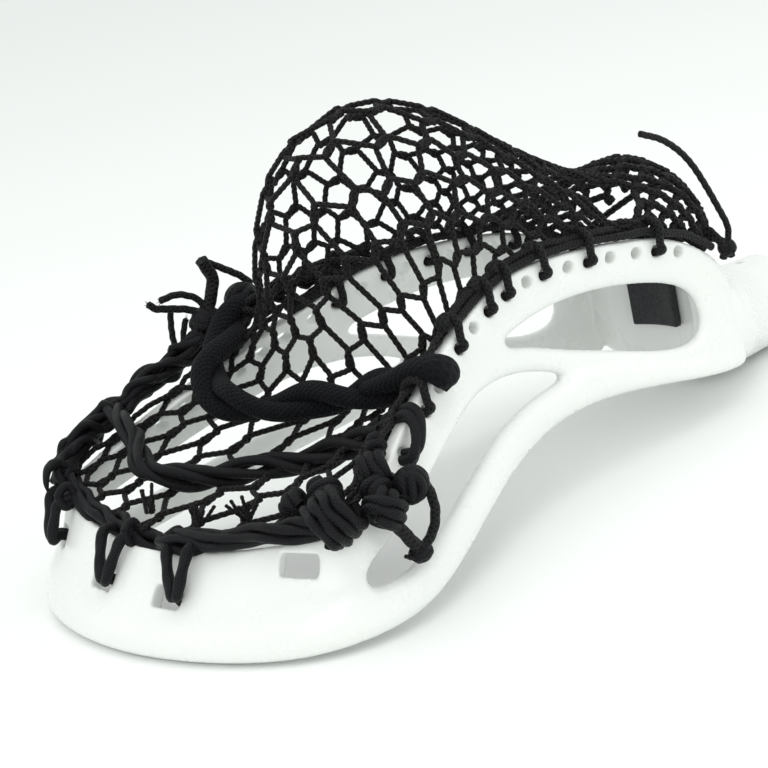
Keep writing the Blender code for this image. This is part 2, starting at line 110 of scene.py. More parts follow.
def make_studio():
    """Pale surroundings, three soft lights and a plain floor."""
    world = bpy.data.worlds.new("studio")
    bpy.context.scene.world = world
    world.use_nodes = True
    background = world.node_tree.nodes["Background"]
    background.inputs["Color"].default_value = WORLD_COLOUR
    background.inputs["Strength"].default_value = WORLD_STRENGTH
    for light in LIGHTS:
        make_light(*light)
    mesh = bpy.data.meshes.new("floor")
    mesh.from_pydata([(x * FLOOR_HALF, y * FLOOR_HALF, 0) for x, y in SQUARE], [], [(0, 1, 2, 3)])
    floor = linked("floor", mesh)
    floor.location.z = -FLOOR_DROP
    paper = bpy.data.materials.new("floor_paper")
    paper.use_nodes = True
    shader = paper.node_tree.nodes["Principled BSDF"]
    shader.inputs["Base Color"].default_value = PAPER_COLOUR
    shader.inputs["Roughness"].default_value = PAPER_ROUGHNESS
    mesh.materials.append(paper)


make_camera()
bpy.context.scene.view_settings.view_transform = "Standard"


# ---- materials ----
class Nodes:
    """A short way to write a node tree."""

    def __init__(self, name):
        self.material = bpy.data.materials.new(name)
        self.material.use_nodes = True
        self.tree = self.material.node_tree
        self.shader = self.tree.nodes["Principled BSDF"]

    def put(self, socket, value):
        """Give a socket a value, or link another node's socket to it."""
        if isinstance(value, bpy.types.NodeSocket):
            self.tree.links.new(value, socket)
        else:
            socket.default_value = value

    def add(self, kind, **settings):
        """A node, with its sockets and settings."""
        node = self.tree.nodes.new(kind)
        for key, value in settings.items():
            name = key.replace("_", " ")
            if name in node.inputs:
                self.put(node.inputs[name], value)
            else:
                setattr(node, key, value)
        return node

    def math(self, operation, *values):
        """The result of a sum on sockets or numbers."""
        node = self.add("ShaderNodeMath", operation=operation)
        for socket, value in zip(node.inputs, values):
            self.put(socket, value)
        return node.outputs[0]

    def noise(self, scale, detail=2, rough=0.5):
        """Noise in the object's own coordinates, in metres."""
        where = self.add("ShaderNodeTexCoord").outputs["Object"]
        return self.add("ShaderNodeTexNoise", Vector=where, Scale=scale, Detail=detail,
                        Roughness=rough).outputs[0]

    def ramp(self, source, *stops):
        """A colour ramp over the source, between two stops of place and colour."""
        node = self.add("ShaderNodeValToRGB", Fac=source)
        for element, (at, colour) in zip(node.color_ramp.elements, stops):
            element.position, element.color = at, (*colour, 1)
        return node.outputs["Color"]

    def spread(self, source, low, high):
        """The source's range from 0 to 1 as a range from low to high."""
        return self.add("ShaderNodeMapRange", Value=source, To_Min=low,
                        To_Max=high).outputs["Result"]

    def bump(self, height, distance, strength, **below):
        """Relief of the given height, on top of any relief given as Normal."""
        return self.add("ShaderNodeBump", Height=height, Distance=distance, Strength=strength,
                        **below).outputs["Normal"]

    def finished(self, **sockets):
        """The material, with its shader's sockets given."""
        for key, value in sockets.items():
            self.put(self.shader.inputs[key.replace("_", " ")], value)
        return self.material


def nylon():
    """Glossy white moulded nylon: faint orange peel, flow marks and uneven gloss."""
    n = Nodes("nylon_white")
    peel = n.bump(n.noise(scale=420), distance=0.00006, strength=0.5)
    return n.finished(
        Base_Color=n.ramp(n.noise(scale=16, detail=3),
                          (0.3, (0.845, 0.865, 0.842)), (0.7, (0.885, 0.898, 0.878))),
        Roughness=n.spread(n.noise(scale=45, detail=4, rough=0.6), low=0.2, high=0.36),
        Normal=n.bump(n.noise(scale=90, detail=3), distance=0.0002, strength=0.35, Normal=peel),
        IOR=1.52, Coat_Weight=0.15, Coat_Roughness=0.12)


def foam():
    """Black closed-cell foam with a fine grain."""
    n = Nodes("foam_black")
    return n.finished(
        Base_Color=n.ramp(n.noise(scale=900), (0.35, (0.008, 0.008, 0.01)),
                          (0.75, (0.026, 0.026, 0.03))),
        Roughness=n.spread(n.noise(scale=200), low=0.5, high=0.75),
        Normal=n.bump(n.noise(scale=1400), distance=0.0002, strength=0.6))


def braid(name, painted_shade, light, crossings, pitch, rough, depth, sheen):
    """Braided cord: strands that cross over each other in two directions, with loose fibres. Its
    colour is painted light over the relief: painted shade in the valleys between strands, painted
    highlight on their crowns, and random fibre tone.

    The vertex attribute cord_place holds the cosine and sine of the place round the cord, and the
    millimetres along it."""
    n = Nodes(name)
    place = n.add("ShaderNodeAttribute", attribute_name="cord_place").outputs["Vector"]
    x, y, along = n.add("ShaderNodeSeparateXYZ", Vector=place).outputs
    run = n.math("MULTIPLY", along, 2 * math.pi / pitch)
    around = n.math("MULTIPLY", n.math("ARCTAN2", y, x), crossings)
    strands = n.math("MAXIMUM", n.math("SINE", n.math("ADD", around, run)),
                     n.math("SINE", n.math("SUBTRACT", around, run)))
    fibres = n.noise(scale=2600, detail=3, rough=0.7)
    height = n.math("ADD", n.math("MULTIPLY", strands, 0.6), n.math("MULTIPLY", fibres, 0.55))
    # the colour ramp over the relief height is painted shade between the strands and painted
    # highlight on their crowns, with random fibre tone
    return n.finished(
        Base_Color=n.ramp(height, (0.15, painted_shade), (0.95, light)),
        Roughness=n.spread(n.noise(scale=350), low=rough - 0.1, high=rough + 0.12),
        Normal=n.bump(height, distance=depth, strength=0.8),
        Specular_IOR_Level=0.18, Sheen_Weight=sheen, Sheen_Roughness=0.4)


BRAIDS = {  # darkest colour (painted shade in the valleys) and lightest colour (painted highlight on the crowns), crossings round it, pitch in mm, roughness, relief, sheen
    "mesh_cord": ((0.0012, 0.0012, 0.0012), (0.016, 0.0153, 0.0148), 3, 1.9, 0.6, 0.0005, 0.03),
    "string": ((0.0012, 0.0012, 0.0014), (0.015, 0.0147, 0.0155), 4, 1.7, 0.58, 0.0004, 0.03),
    "smooth_lace": ((0.001, 0.001, 0.0014), (0.0068, 0.0068, 0.0092), 8, 1.1, 0.5, 0.00018, 0.02),
    "woven_lace": ((0.0005, 0.0006, 0.0013), (0.0028, 0.0032, 0.0064), 9, 2.2, 0.8, 0.0006, 0.015),
}
MATERIALS = {"nylon_white": nylon(), "foam_black": foam()}
MATERIALS.update({name: braid(name, *look) for name, look in BRAIDS.items()})


# ---- lines and cords ----
NEARLY_PARALLEL = 0.2  # sine of the angle between two directions that count as one
TINY = 1e-9
TIP_BULGE = 0.55  # how far a cord's rounded end reaches, in radii


def unit(rows):
    """Each row divided by its length."""
    return rows / np.maximum(np.linalg.norm(rows, axis=1), TINY)[:, None]


def distances(line):
    """How far along the line each of its points is."""
    return np.concatenate([[0.0], np.cumsum(np.linalg.norm(np.diff(line, axis=0), axis=1))])


def through(points, steps=8, closed=False):
    """The smooth curve (Catmull-Rom) through the points, as rows of x, y, z."""
    p = np.asarray(points, float)
    if closed:
        p = np.vstack([p[-1:], p, p[:2]])
    else:
        p = np.vstack([2 * p[:1] - p[1:2], p, 2 * p[-1:] - p[-2:-1]])
    t = (np.arange(steps) / steps)[:, None]
    spans = []
    for a, b, c, d in zip(p, p[1:], p[2:], p[3:]):
        spans.append(0.5 * (2 * b + (c - a) * t + (2 * a - 5 * b + 4 * c - d) * t ** 2
                            + (3 * b - a - 3 * c + d) * t ** 3))
    if not closed:
        spans.append(p[-2:-1])
    return np.vstack(spans)


def evenly(line, spacing=1.0, count=None):
    """The same line with its points evenly apart, and how far along it each is."""
    far = distances(line)
    count = count or max(3, int(round(far[-1] / spacing)))
    at = np.linspace(0.0, far[-1], count + 1)
    return np.stack([np.interp(at, far, line[:, k]) for k in range(3)], 1), at


def moving_axes(line, closed=False, start=None):
    """The line's direction at each point, and two across it that don't spin round it."""
    ahead = np.gradient(line, axis=0)
    if closed:
        ahead = np.roll(line, -1, axis=0) - np.roll(line, 1, axis=0)
    ahead = unit(ahead)
    side = np.cross(ahead[0], (0, 0, 1)) if start is None else start
    if np.linalg.norm(side) < NEARLY_PARALLEL:
        side = np.cross(ahead[0], (0, 1, 0))
    across = []
    for way in ahead:
        side = side - way * np.dot(side, way)
        side = side / np.linalg.norm(side)
        across.append(side)
    return ahead, np.array(across), np.cross(ahead, across)


# A kind of cord. Its relief is made by lobes that wind round it.
Cord = namedtuple("Cord", "radius sides spacing lobes pitch relief flat",
                  defaults=(12, 0.6, 2, 3, 0.12, 1))


class Skein:
    """Several lengths of cord that become one piece."""

    def __init__(self):
        self.points, self.faces, self.places, self.count = [], [], [], 0

    def add(self, line, cord, closed=False, phase=0, taper=None, start=None):
        """A length of cord along the line. taper gives its thickness from 0 to 1 along it, and
        start the direction of its width where it begins."""
        line = np.asarray(line, float)
        if closed:
            line = np.vstack([line, line[:1]])
        line, along = evenly(line, cord.spacing)
        if closed:
            line, along = line[:-1], along[:-1]
        ahead, across, other = moving_axes(line, closed, start)
        rows, sides = len(line), cord.sides
        turn = np.arange(sides) * 2 * math.pi / sides
        size = np.full(rows, cord.radius)
        if taper is not None:
            size = cord.radius * taper(along / along[-1])
        wave = np.cos(cord.lobes * turn - 2 * math.pi * along[:, None] / cord.pitch + phase)
        reach = size[:, None] * (1 + cord.relief * wave)
        rings = (line[:, None, :] + across[:, None, :] * (reach * np.cos(turn))[:, :, None]
                 + other[:, None, :] * (reach * np.sin(turn) * cord.flat)[:, :, None])
        index = self.count + np.arange(rows * sides).reshape(rows, sides)
        around = [(i, (i + 1) % sides) for i in range(sides)]
        for k in range(rows if closed else rows - 1):
            a, b = index[k], index[(k + 1) % rows]
            self.faces += [(a[i], a[j], b[j], b[i]) for i, j in around]
        self.points.append(rings.reshape(-1, 3))
        self.places.append(np.stack([np.tile(np.cos(turn), rows), np.tile(np.sin(turn), rows),
                                     np.repeat(along, sides)], 1))
        self.count += rows * sides
        if closed:
            return
        for row, sign in ((0, -1), (rows - 1, 1)):
            tip = line[row] + ahead[row] * sign * size[row] * TIP_BULGE
            self.points.append(tip[None, :])
            self.places.append(np.array([[1.0, 0.0, along[row]]]))
            ring = list(index[row])[::-sign]
            self.faces += [(ring[i], ring[j], self.count) for i, j in around]
            self.count += 1

    def twist(self, route, cord, strands, offset, pitch, swing, wave, seed, start=0):
        """Cords that wind round each other along the route, each a little unsteady."""
        line, along = evenly(through(route))
        _, across, other = moving_axes(line)
        for n in range(strands):
            turn = (start + 2 * math.pi * (n / strands + along / pitch))[:, None]
            strand = line + across * (offset * np.cos(turn)) + other * (offset * np.sin(turn))
            self.add(wobble(strand, swing, wave, seed + n), cord, phase=n)

    def build(self, name, material, replaces):
        """The piece that all of it makes."""
        mesh = bpy.data.meshes.new(name)
        points = (np.vstack(self.points) + np.array(SHIFT)) * MM
        mesh.from_pydata(points.tolist(), [], self.faces)
        place = mesh.attributes.new("cord_place", "FLOAT_VECTOR", "POINT")
        place.data.foreach_set("vector", np.vstack(self.places).ravel())
        return finished(name, mesh, material, replaces)


def finished(name, mesh, material, replaces):
    """A piece of the head: smooth, riding on its body, with its material in a slot; the CAD node it
    replaces is hidden.
    """
    mesh.name = name
    mesh.shade_smooth()
    mesh.materials.clear()
    mesh.materials.append(MATERIALS[material])
    obj = linked(name, mesh)
    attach(obj, "root")
    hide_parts(replaces)
    return obj


def wobble(line, size, wave, seed, waves=3, spread=(0.6, 1.6), phases=6.28):
    """The line with slow random swings, so that a hand-laid cord isn't ruled."""
    chance = np.random.RandomState(seed)
    line, along = evenly(line)
    out = line.copy()
    for axis in range(3):
        for _ in range(waves):
            turn = along * 2 * math.pi / (wave * chance.uniform(*spread))
            out[:, axis] += size / 2 * np.sin(turn + chance.uniform(0, phases))
    return out


def coil(centre, axis, radius, length, turns, spin=0, per_turn=20, barrel=1.6):
    """A barrel-shaped winding about an axis."""
    s = np.linspace(-0.5, 0.5, int(turns * per_turn))
    angle = 2 * math.pi * turns * s + spin
    reach = radius * np.sqrt(1 - barrel * s ** 2)
    shape = np.stack([reach * np.cos(angle), reach * np.sin(angle), s * length], 1)
    turn = Vector((0, 0, 1)).rotation_difference(Vector(axis)).to_matrix()
    return shape @ np.array(turn).T + centre


BALL_WINDINGS = ((2.6, 1), (2.2, 0.97), (1.6, 0.6))  # turns and size, each about another axis
BALL_LENGTH = 1.45  # of a winding, in its radii


def ball_knot(skein, centre, radii, cord, seed):
    """A round knot: windings of cord over each other in three directions, turned by chance."""
    q, r = np.linalg.qr(np.random.RandomState(seed).normal(size=(3, 3)))
    turn = q * np.sign(np.diag(r))
    reach = min(radii) - cord.radius
    for axis, (turns, grow) in enumerate(BALL_WINDINGS):
        line = coil((0, 0, 0), (0, 0, 1), reach * grow, reach * BALL_LENGTH * grow, turns)
        line = np.roll(line, axis, axis=1) @ turn.T
        skein.add(line * radii / min(radii) + centre, cord)


# ---- moulded frame ----
# Stations of the near half, from the throat round to the scoop's middle: lip of the face rim,
# string edge of the rail, and heights of the windows' bounds as fractions of the wall.
STATIONS = (
    ((12, 39.8, 9), (12, 38, 47), (0.16, 0.3, 0.42, 0.72)),
    ((-10, 42.6, 12), (-10, 40.7, 63), (0.1, 0.2, 0.3, 0.64)),
    ((-28, 43.4, 16), (-28, 41, 69.8), (0.08, 0.15, 0.22, 0.68)),
    ((-48, 43.8, 20.2), (-48, 40.4, 73.8), (0.11, 0.19, 0.27, 0.7)),
    ((-68, 44.6, 23.3), (-68, 39.6, 76.7), (0.17, 0.25, 0.34, 0.7)),
    ((-86, 46.7, 24.2), (-86, 39.4, 78), (0.24, 0.28, 0.45, 0.68)),
    ((-97, 48.7, 23.6), (-97, 40, 77.4), (0.25, 0.37, 0.55, 0.665)),
    ((-107, 51, 22.4), (-107, 41.3, 75.8), (0.26, 0.45, 0.62, 0.67)),
    ((-122, 55.5, 19.8), (-122, 44, 72.2), (0.27, 0.54, 0.7, 0.82)),
    ((-137, 62, 16.6), (-137, 49, 67.4), (0.27, 0.585, 0.74, 0.87)),
    ((-155, 70.2, 12.4), (-155, 56.4, 60.6), (0.28, 0.585, 0.75, 0.88)),
    ((-173, 78.4, 7.8), (-172, 62.7, 54), (0.29, 0.585, 0.75, 0.88)),
    ((-190, 84.3, 3.8), (-186, 68.5, 48), (0.31, 0.585, 0.75, 0.88)),
    ((-204, 85.8, 1.6), (-199, 75.5, 41.5), (0.36, 0.59, 0.75, 0.88)),
    ((-217.5, 83.6, 0.5), (-210, 78.5, 36.8), (0.4, 0.57, 0.74, 0.88)),
    ((-231, 76.8, 0), (-219, 74, 34.5), (0.38, 0.52, 0.7, 0.88)),
    ((-242, 65, 0), (-227, 61, 33), (0.34, 0.46, 0.66, 0.87)),
    ((-250.5, 47.5, 0.4), (-232, 44, 31), (0.31, 0.42, 0.64, 0.86)),
    ((-256.5, 25.5, 0.9), (-235.5, 23, 28.6), (0.29, 0.4, 0.63, 0.86)),
    ((-259, 0, 1.2), (-237, 0, 26.5), (0.28, 0.39, 0.62, 0.86)),
)
WINDOWS = {3: range(1, 7), 1: range(5, 14)}  # stations where a window is open, by band of the wall
BANDS = 5
RIM_THICK, RIM_PROUD = 9.5, 0.8
WALL_THICK, SCOOP_THICK, SCOOP_FIRST = 6.4, 5, 14
GROOVE_DEEP, GROOVE_FADE, STRUT_STEP = 3, 0.7, 1.2
RAIL_CREASE = 0.45
HOLE_FIRST_X, HOLE_PITCH, HOLE_COUNT = -16, 10.7, 17
HOLE_LONG, HOLE_TALL, HOLE_BELOW = 5.4, 4, 5.2
SLOTS = ((62, 12), (20, 13.5), (-15, 14.5), (-63, 7))  # y, depth below the string edge
SLOT_WIDE, SLOT_TALL = 13, 7.5
THROUGH_WALL = 24  # length of the cutters for holes and slots
SHAFT_Z = 16
THROAT = (  # x, half width, lowest z, highest z, corner
    (2, 40.8, 8.5, 49, 9), (14, 38.6, 5.5, 46, 10), (26, 31.5, 1.5, 41.5, 11),
    (38, 23, -1.2, 36.5, 10.5), (50, 18.8, -2, 34.4, 10.6), (66, 18.2, -2, 34, 10.6),
)
STOP_X, STOP_RADII = 9, (27, 34)  # the hollow for the ball: its deepest place, and radii
STOP_CUT, STOP_CUT_Z = 90, 30
SOCKET_FLOOR_X, SOCKET_FLATS, SOCKET_CUT = 22, 26, 60
SCREW_X, SCREW_DIAMETER, SCREW_CUT, SCREW_CUT_Z = 54, 3.6, 22, SHAFT_Z + 20
FRAME_LEVELS = 2
FRAME_VOXEL = 0.0007  # metres


def whole_loop(stations):
    """The near half's rows and then their mirror images, from throat to throat."""
    near = [(Vector((r[0], -r[1], r[2])), Vector((s[0], -s[1], s[2])), levels, k)
            for k, (r, s, levels) in enumerate(stations)]
    flip = Vector((1, -1, 1))
    far = [(r * flip, s * flip, levels, k) for r, s, levels, k in near[-2::-1]]
    return near + far


def wall_point(rim, rail, outward, height, level, k):
    """Outer and inner points of the wall at one level of one station."""
    step, thick = -RIM_PROUD, RIM_THICK
    if level >= 2:
        step, thick = STRUT_STEP, WALL_THICK
        if k >= SCOOP_FIRST - 1:
            to_middle = max(0.0, (k - SCOOP_FIRST) / (len(STATIONS) - 1 - SCOOP_FIRST))
            step, thick = GROOVE_DEEP * (1 - to_middle) ** GROOVE_FADE, SCOOP_THICK
    middle = rim.lerp(rail, height)
    return placed(middle - outward * step), placed(middle - outward * (step + thick))


def wall_mesh():
    """Rim, struts, rails and scoop as one cage of faces, open at the windows."""
    loop = whole_loop(STATIONS)
    bm = bmesh.new()
    outer, inner = [], []
    for i, (rim, rail, levels, k) in enumerate(loop):
        before, after = loop[max(i - 1, 0)], loop[min(i + 1, len(loop) - 1)]
        along = (after[0] + after[1]) - (before[0] + before[1])
        outward = -along.cross(rail - rim).normalized()
        pairs = [wall_point(rim, rail, outward, h, n, k) for n, h in enumerate((0, *levels, 1))]
        outer.append([bm.verts.new(p[0]) for p in pairs])
        inner.append([bm.verts.new(p[1]) for p in pairs])
    last = len(loop) - 1

    def solid(i, j):
        """Whether the wall is closed in band j between the loop's rows i and i + 1."""
        if not (0 <= i < last and 0 <= j < BANDS):
            return False
        return min(i, last - 1 - i) not in WINDOWS.get(j, ())

    crease = bm.edges.layers.float.new("crease_edge")
    for i in range(last):
        for j in range(BANDS):
            if not solid(i, j):
                continue
            corners = ((i, j), (i + 1, j), (i + 1, j + 1), (i, j + 1))
            beside = ((i, j - 1), (i + 1, j), (i, j + 1), (i - 1, j))
            bm.faces.new([outer[a][b] for a, b in corners])
            bm.faces.new([inner[a][b] for a, b in reversed(corners)])
            for (a, b), (c, d), place in zip(corners, corners[1:] + corners[:1], beside):
                if not solid(*place):
                    bm.faces.new((outer[a][b], inner[a][b], inner[c][d], outer[c][d]))
    for row in (outer, inner):
        for a, b in zip(row, row[1:]):
            bm.edges.get((a[-1], b[-1]))[crease] = RAIL_CREASE
    return bm


def throat_mesh():
    """The neck: rings that go from the width of the head to an octagonal collar."""
    bm = bmesh.new()
    rings = []
    for x, half, low, high, corner in THROAT:
        flat, above, below = half - corner, low + corner, high - corner
        outline = ((-flat, low), (flat, low), (half, above), (half, below),
                   (flat, high), (-flat, high), (-half, below), (-half, above))
        rings.append([bm.verts.new(placed((x, y, z))) for y, z in outline])
    for a, b in zip(rings, rings[1:]):
        for corners in zip(a, a[1:] + a[:1], b[1:] + b[:1], b):
            bm.faces.new(corners)
    bm.faces.new(rings[0])
    end = bm.faces.new(rings[-1])
    crease = bm.edges.layers.float.new("crease_edge")
    for edge in end.edges:
        edge[crease] = 1.0
    return bm


def tool(bm):
    """A temporary object, made of bm."""
    bmesh.ops.recalc_face_normals(bm, faces=bm.faces)
    mesh = bpy.data.meshes.new("tool")
    bm.to_mesh(mesh)
    bm.free()
    return linked("tool", mesh)


def baked(obj):
    """The object's mesh with its modifiers applied."""
    graph = bpy.context.evaluated_depsgraph_get()
    return bpy.data.meshes.new_from_object(obj.evaluated_get(graph))


def prism(bm, outline, depth, place):
    """A straight cutter added to bm: the outline in its own XY plane, centred on z = 0."""
    low, high = ([bm.verts.new(place @ Vector((x * MM, y * MM, z * MM))) for x, y in outline]
                 for z in (-depth / 2, depth / 2))
    for corners in zip(low, low[1:] + low[:1], high[1:] + high[:1], high):
        bm.faces.new(corners)
    bm.faces.new(low[::-1])
    bm.faces.new(high)


def ellipse(rx, ry, count):
    """Corners of a polygon round the axes."""
    turns = [2 * math.pi / count * (k + 0.5) for k in range(count)]
    return [(rx * math.cos(turn), ry * math.sin(turn)) for turn in turns]


def frame_at(where, normal, up):
    """Matrix with Z along the normal and Y as near up as it can be."""
    z = Vector(normal).normalized()
    x = Vector(up).cross(z).normalized()
    turn = Matrix((x, z.cross(x), z)).transposed().to_4x4()
    return Matrix.Translation(placed(where)) @ turn


RAIL_TO_X, SCOOP_FROM_X = -222, -205  # where an x and where a y tells a place on the string edge


class Rail:
    """The string edge of one side, from the throat to the scoop's middle, and its directions."""

    def __init__(self, side):
        rows = whole_loop(STATIONS)[: len(STATIONS)]
        flip = np.array((1, -side, 1))
        lip, self.edge = (through([r[k] for r in rows]) * flip for k in (0, 1))
        self.up = unit(self.edge - lip)
        self.along = unit(np.gradient(self.edge, axis=0))
        self.out = unit(np.cross(self.up, self.along) * -side)
        self.far = distances(self.edge)

    def at_x(self, x):
        """The edge's point nearest to x along the rail."""
        away = np.abs(self.edge[:, 0] - x)
        return int(np.argmin(np.where(self.edge[:, 0] > RAIL_TO_X, away, np.inf)))

    def at_y(self, y):
        """The edge's point nearest to y along the scoop."""
        away = np.abs(self.edge[:, 1] - y)
        return int(np.argmin(np.where(self.edge[:, 0] < SCOOP_FROM_X, away, np.inf)))

    def near(self, k, points):
        """Points given as distance along the edge, outward and upward from the edge's point k."""
        a, n, h = np.asarray(points, float).T[:, :, None]
        return self.edge[k] + a * self.along[k] + n * self.out[k] + h * self.up[k]

    def line(self, k0, k1, outward, upward):
        """The edge from point k0 to k1, moved outward and upward."""
        return self.edge[k0:k1] + outward * self.out[k0:k1] + upward * self.up[k0:k1]


RAILS = {-1: Rail(-1), 1: Rail(1)}


def hole_points(rail):
    """The edge's point above each string hole."""
    start = rail.far[rail.at_x(HOLE_FIRST_X)]
    return [int(np.searchsorted(rail.far, start + n * HOLE_PITCH)) for n in range(HOLE_COUNT)]


def make_frame():
    """The moulding: the design's cage and cuts, then one skin with fillets."""
    wall = tool(wall_mesh())
    throat = tool(throat_mesh())
    for obj in (wall, throat):
        mod = obj.modifiers.new("smooth", "SUBSURF")
        mod.levels = mod.render_levels = FRAME_LEVELS
    rx, ry = STOP_RADII
    hollow, bore, screw, holes = (bmesh.new() for _ in range(4))
    prism(hollow, ellipse(rx, ry, 96), STOP_CUT,
          Matrix.Translation(placed((STOP_X - rx, 0, STOP_CUT_Z))))
    corner = SOCKET_FLATS / 2 / math.cos(math.pi / 8)
    prism(bore, ellipse(corner, corner, 8), SOCKET_CUT,
          frame_at((SOCKET_FLOOR_X + SOCKET_CUT / 2, 0, SHAFT_Z), (1, 0, 0), (0, 0, 1)))
    prism(screw, ellipse(SCREW_DIAMETER / 2, SCREW_DIAMETER / 2, 24), SCREW_CUT,
          Matrix.Translation(placed((SCREW_X, 0, SCREW_CUT_Z))))
    hole = ellipse(HOLE_LONG / 2, HOLE_TALL / 2, 20)
    cuts = [(rail, k, HOLE_BELOW, hole) for rail in RAILS.values() for k in hole_points(rail)]
    slot = [(x * SLOT_WIDE / 2, y * SLOT_TALL / 2) for x, y in SQUARE]
    for y, below in SLOTS:
        rail = RAILS[1 if y > 0 else -1]
        cuts.append((rail, rail.at_y(y), below, slot))
    for rail, k, below, outline in cuts:
        where = rail.edge[k] - rail.up[k] * below
        prism(holes, outline, THROUGH_WALL, frame_at(where, rail.out[k], rail.up[k]))
    tools = [(throat, "UNION")] + [(tool(bm), "DIFFERENCE") for bm in (hollow, bore, screw, holes)]
    for obj, operation in tools:
        mod = wall.modifiers.new(operation.lower(), "BOOLEAN")
        mod.operation, mod.object, mod.solver = operation, obj, "EXACT"
    skin = wall.modifiers.new("skin", "REMESH")
    skin.mode, skin.voxel_size, skin.use_smooth_shade = "VOXEL", FRAME_VOXEL, True
    fillet = wall.modifiers.new("fillet", "SMOOTH")
    fillet.factor, fillet.iterations = 0.5, 5
    mesh = baked(wall)
    for obj in [wall] + [t[0] for t in tools]:
        bpy.data.objects.remove(obj)
    finished("moulded_frame", mesh, "nylon_white", "head_frame")


# ---- ball stop ----
STOP_PAD = (11, 34.5, 10.5, 3.5)  # half width, middle z, half height, thickness
PAD_GAP, PAD_BEVEL, PAD_BEVEL_ANGLE = 0.4, 0.9, 50
PAD_COLUMNS, PAD_ROWS = 16, 10


def make_ball_stop():
    """Foam pad bent round the throat's hollow, with rounded edges."""
    half_wide, mid_z, half_tall, thick = STOP_PAD
    rx, ry = STOP_RADII
    bm = bmesh.new()
    layers = []
    heights = [mid_z + half_tall * (2 * m / PAD_ROWS - 1) for m in range(PAD_ROWS + 1)]
    for r in (PAD_GAP, PAD_GAP + thick / 2, PAD_GAP + thick):
        grid = []
        for k in range(PAD_COLUMNS + 1):
            y = half_wide * (2 * k / PAD_COLUMNS - 1)
            x = STOP_X - rx + (rx - r) * math.sqrt(1 - (y / (ry - r)) ** 2)
            grid.append([bm.verts.new(placed((x, y, z))) for z in heights])
        layers.append(grid)
    for k in range(PAD_COLUMNS):
        for m in range(PAD_ROWS):
            for grid in (layers[0], layers[2]):
                bm.faces.new((grid[k][m], grid[k + 1][m], grid[k + 1][m + 1], grid[k][m + 1]))
    for a, b in zip(layers, layers[1:]):
        for k in range(PAD_COLUMNS):
            for m in (0, PAD_ROWS):
                bm.faces.new((a[k][m], a[k + 1][m], b[k + 1][m], b[k][m]))
        for m in range(PAD_ROWS):
            for k in (0, PAD_COLUMNS):
                bm.faces.new((a[k][m], a[k][m + 1], b[k][m + 1], b[k][m]))
    pad = tool(bm)
    mod = pad.modifiers.new("bevel", "BEVEL")
    mod.width, mod.segments, mod.limit_method = PAD_BEVEL * MM, 3, "ANGLE"
    mod.angle_limit = math.radians(PAD_BEVEL_ANGLE)
    mesh = baked(pad)
    bpy.data.objects.remove(pad)
    obj = finished("ball_stop_pad", mesh, "foam_black", "ball_stop")


# ---- pocket net ----
NET_LINES = (  # scoop to throat: middle x and z, x at the near and far rails, inset and lift there
    ((-233, 31), (-220, -220), (6, 1)), ((-216, 33), (-211, -213), (6, 2)),
    ((-201, 34.5), (-197, -206), (6, 2.5)), ((-190, 36), (-184, -199), (6, 3)),
    ((-181, 38.5), (-170, -190), (6, 3)), ((-170, 42), (-152, -179), (5.5, 3)),
    ((-154, 47), (-127, -160), (5, 3)), ((-154, 72), (-116, -142), (4.5, 2.5)),
    ((-158, 94), (-111, -132), (4.5, 2)), ((-155, 114), (-108, -127), (4.5, 2)),
    ((-148, 128.5), (-104, -122), (4.5, 2)), ((-136, 137.5), (-98, -115), (4.5, 2)),
    ((-116, 141), (-89, -104), (4.5, 2)), ((-90, 133), (-78, -88), (4.5, 2)),
    ((-64, 114), (-62, -67), (4.5, 2)), ((-38, 97), (-44, -46), (4.5, 2)),
    ((-22, 91), (-28, -30), (4.5, 2)), ((-6, 91.5), (-13, -14), (4.5, 2)),
    ((7, 86.5), (-1, -1), (5, 3)), ((14, 76), (4, 4), (6, 4)),
)
NET_LINE_STEPS, NET_COLUMNS, NET_ROWS = 40, 80, 240
CELLS_ACROSS = 10
ROW_STEPS = (1.5,) * 4 + (1.05,) * 14 + (0.62,) * 13  # relative spacing, scoop to throat
END_GAP = 0.5  # from the outermost rows to the net's ends, on the same scale
# The tables below go along the net, from 0 at the scoop to 1 at the throat.
GATHER_AT = (0, 0.45, 0.6, 0.8, 1)  # how strongly the cells are gathered at the rails
GATHER = (0.92, 0.9, 0.55, 0.6, 0.7)
THICKER_AT, THICKER = (0, 0.78, 0.88, 1), (1, 1, 1.35, 1.35)  # thickness of the cords
PINCH_AT, PINCH = (0, 0.7, 0.84, 0.94, 1), (1, 1, 1.9, 2, 1.9)  # of the net's far side
PARTED_AT, PARTED = (0.742, 0.785, 0.835, 0.872), (0, 1, 1, 0)  # the opening beside the throat
PARTED_STRAND = 4.5  # between the strands that go above and below the opening
PUSH_ABOVE, PUSH_BELOW = 0.5, 0.75
NET_CORD = Cord(0.98, sides=8, spacing=0.5, lobes=3, pitch=2.6, relief=0.1)
END_CORD = Cord(1.25, sides=10, spacing=0.5, lobes=3, pitch=3.2, relief=0.08)  # at the throat
END_CORD_POINTS = slice(2, -2, 6)
JUNCTION = 0.28  # half the length of a knitted junction, as a share of the row spacing
JUNCTION_POINTS, JUNCTION_TWIST, JUNCTION_WIDE = 5, 0.32, 0.72
NET_SEED, NET_JITTER, NET_SHAKE = 11, 0.09, 1.6
TUFTS = ((-226.5, -15, 33), (-219.5, -33, 34), (-226, 12, 34))
TUFT_CORD = Cord(0.6, sides=7, spacing=0.4, pitch=1.6)
TUFT_ENDS, TUFT_LEAN, TUFT_FOOT, TUFT_HEIGHT, TUFT_BEND = 9, 0.75, 1.6, (4.5, 8), 1.2


